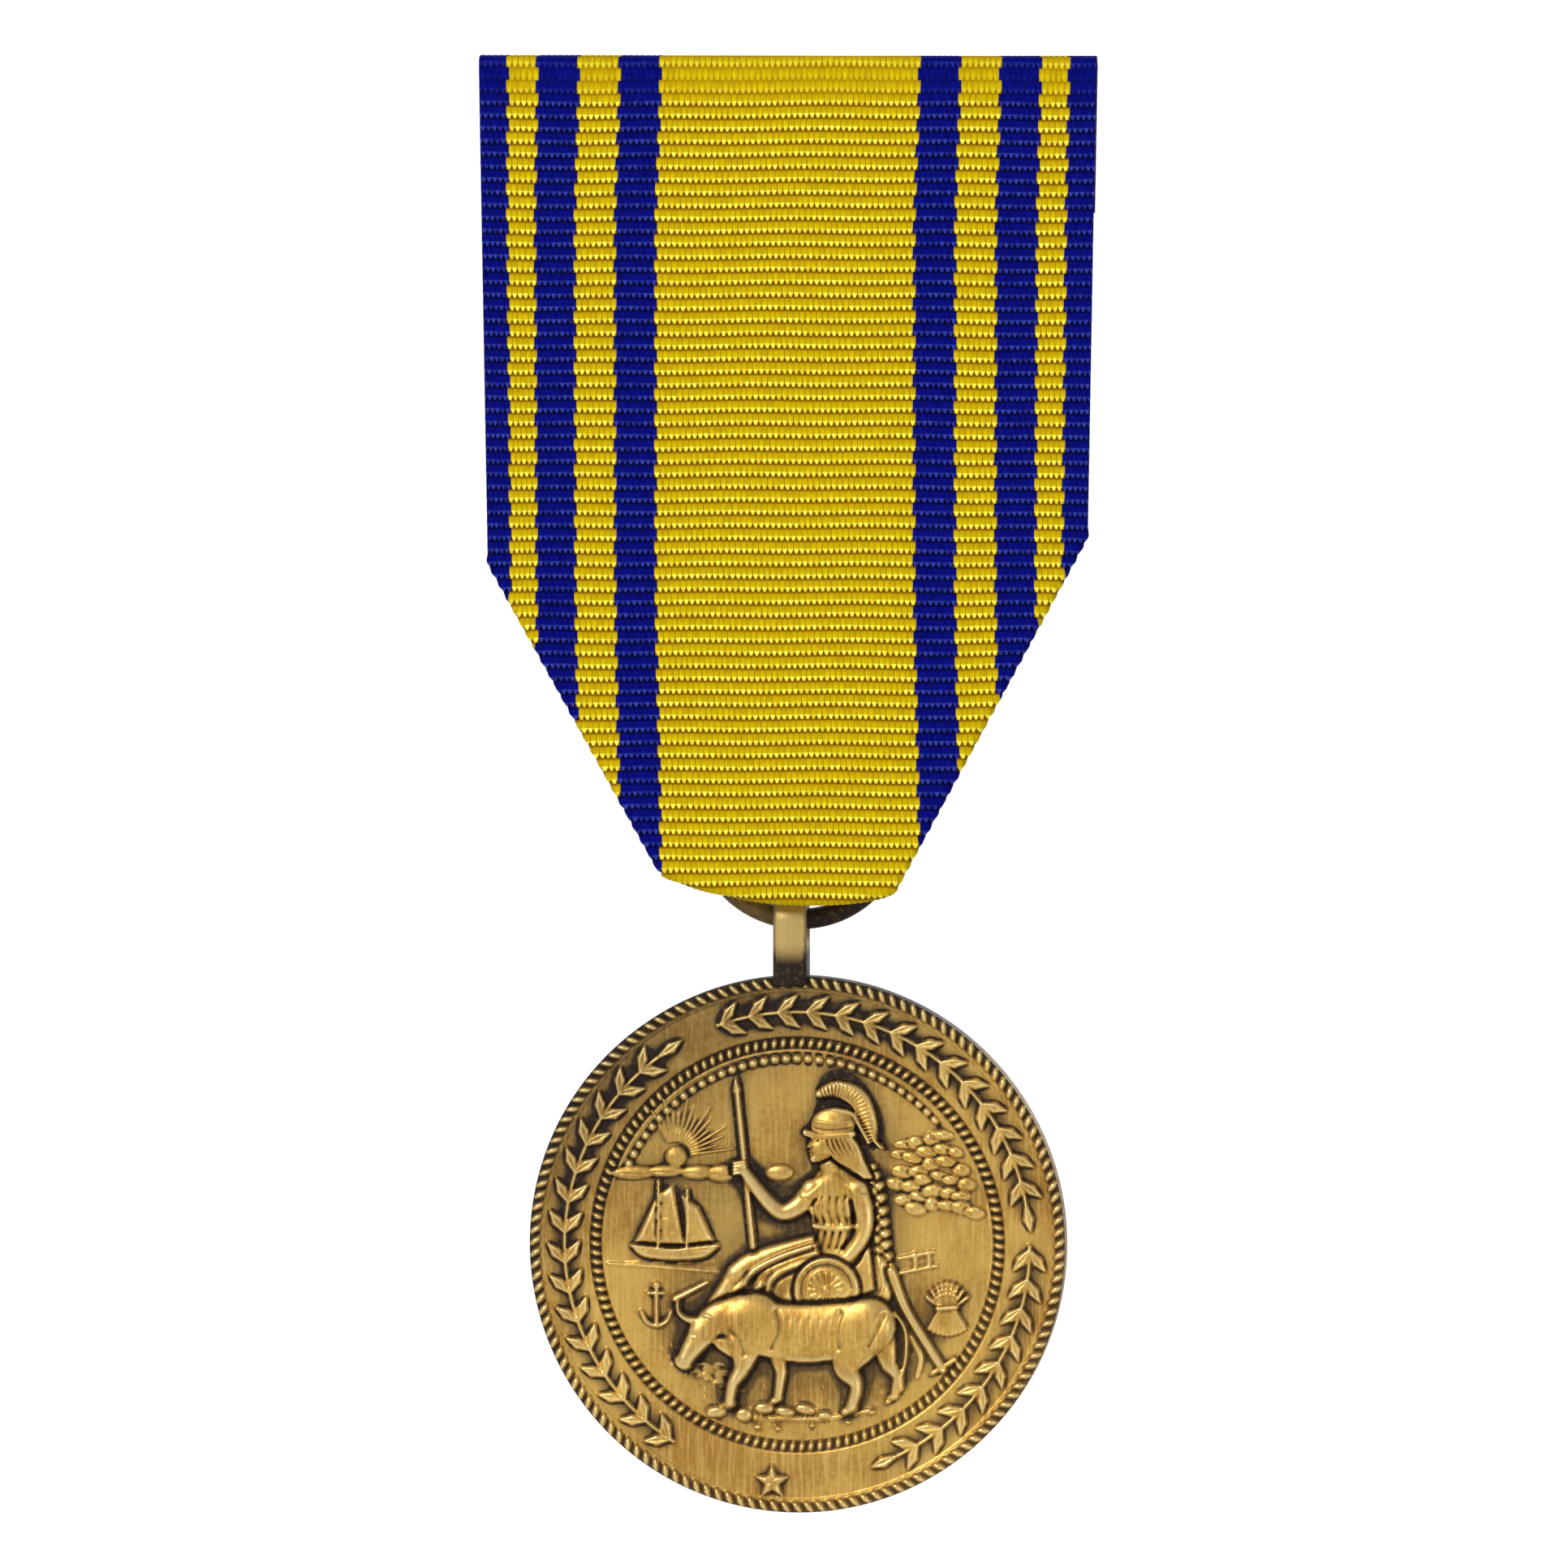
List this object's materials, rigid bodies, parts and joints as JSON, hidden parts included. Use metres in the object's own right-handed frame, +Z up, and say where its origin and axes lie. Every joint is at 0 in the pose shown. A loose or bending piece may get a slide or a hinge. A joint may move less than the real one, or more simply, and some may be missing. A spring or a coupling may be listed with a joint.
{
  "type": "military service medal",
  "caption": "Round struck bronze medal hung by a loop and ring from a striped grosgrain ribbon drape folded to a point, with a pin brooch behind the ribbon's top.",
  "frame": {"origin": "on the pin stem's axis, midway between the hinge and the catch", "axes": "+Z up as worn, -Y out of the obverse, +X along the pin stem towards its point"},
  "size_m": [0.0358, 0.0053, 0.0847],
  "materials": {
    "ribbon": "ribbed grosgrain weave in yellow and royal blue stripes",
    "thread": "twisted sewing thread",
    "antique_bronze": "antiqued bronze, dark in the recesses and satin on the high parts",
    "brooch_nickel": "nickel plated, finely brushed",
    "carrier_steel": "plain sheet steel",
    "pin_steel": "polished drawn wire"
  },
  "bodies": {
    "brooch": {"carrier_plate": "carrier_steel", "pin_bar": "brooch_nickel", "bar_rivets": "brooch_nickel", "hinge_bracket": "brooch_nickel", "hinge_rivet": "brooch_nickel", "catch_body": "brooch_nickel", "ribbon_front": "ribbon", "ribbon_top_fold": "ribbon", "ribbon_wing_left": "ribbon", "ribbon_wing_right": "ribbon", "ribbon_tongue": "ribbon", "ribbon_stitches": "thread"},
    "pin": {"pin_stem": "pin_steel"},
    "catch": {"catch_roller": "brooch_nickel"},
    "ring": {"suspension_ring": "antique_bronze"},
    "medal": {"suspension_loop": "antique_bronze", "medallion": "antique_bronze"}
  },
  "joints": [
    {"name": "pin_swing", "type": "hinge", "parent": "brooch", "child": "pin", "pos_m": [-0.0135, 0, 0], "axis": [0, 0, 1], "range_deg": [0, 70]},
    {"name": "catch_turn", "type": "hinge", "parent": "brooch", "child": "catch", "pos_m": [0.0135, 0, 0], "axis": [1, 0, 0], "range_deg": [0, 120]},
    {"name": "ring_turn", "type": "hinge", "parent": "brooch", "child": "ring", "pos_m": [0.0005, -0.00075, -0.03885], "axis": [0, 1, 0], "range_deg": [-25, 25]},
    {"name": "medal_tip", "type": "hinge", "parent": "ring", "child": "medal", "pos_m": [0, -0.00075, -0.0446], "axis": [1, 0, 0], "range_deg": [-60, 60]}
  ]
}
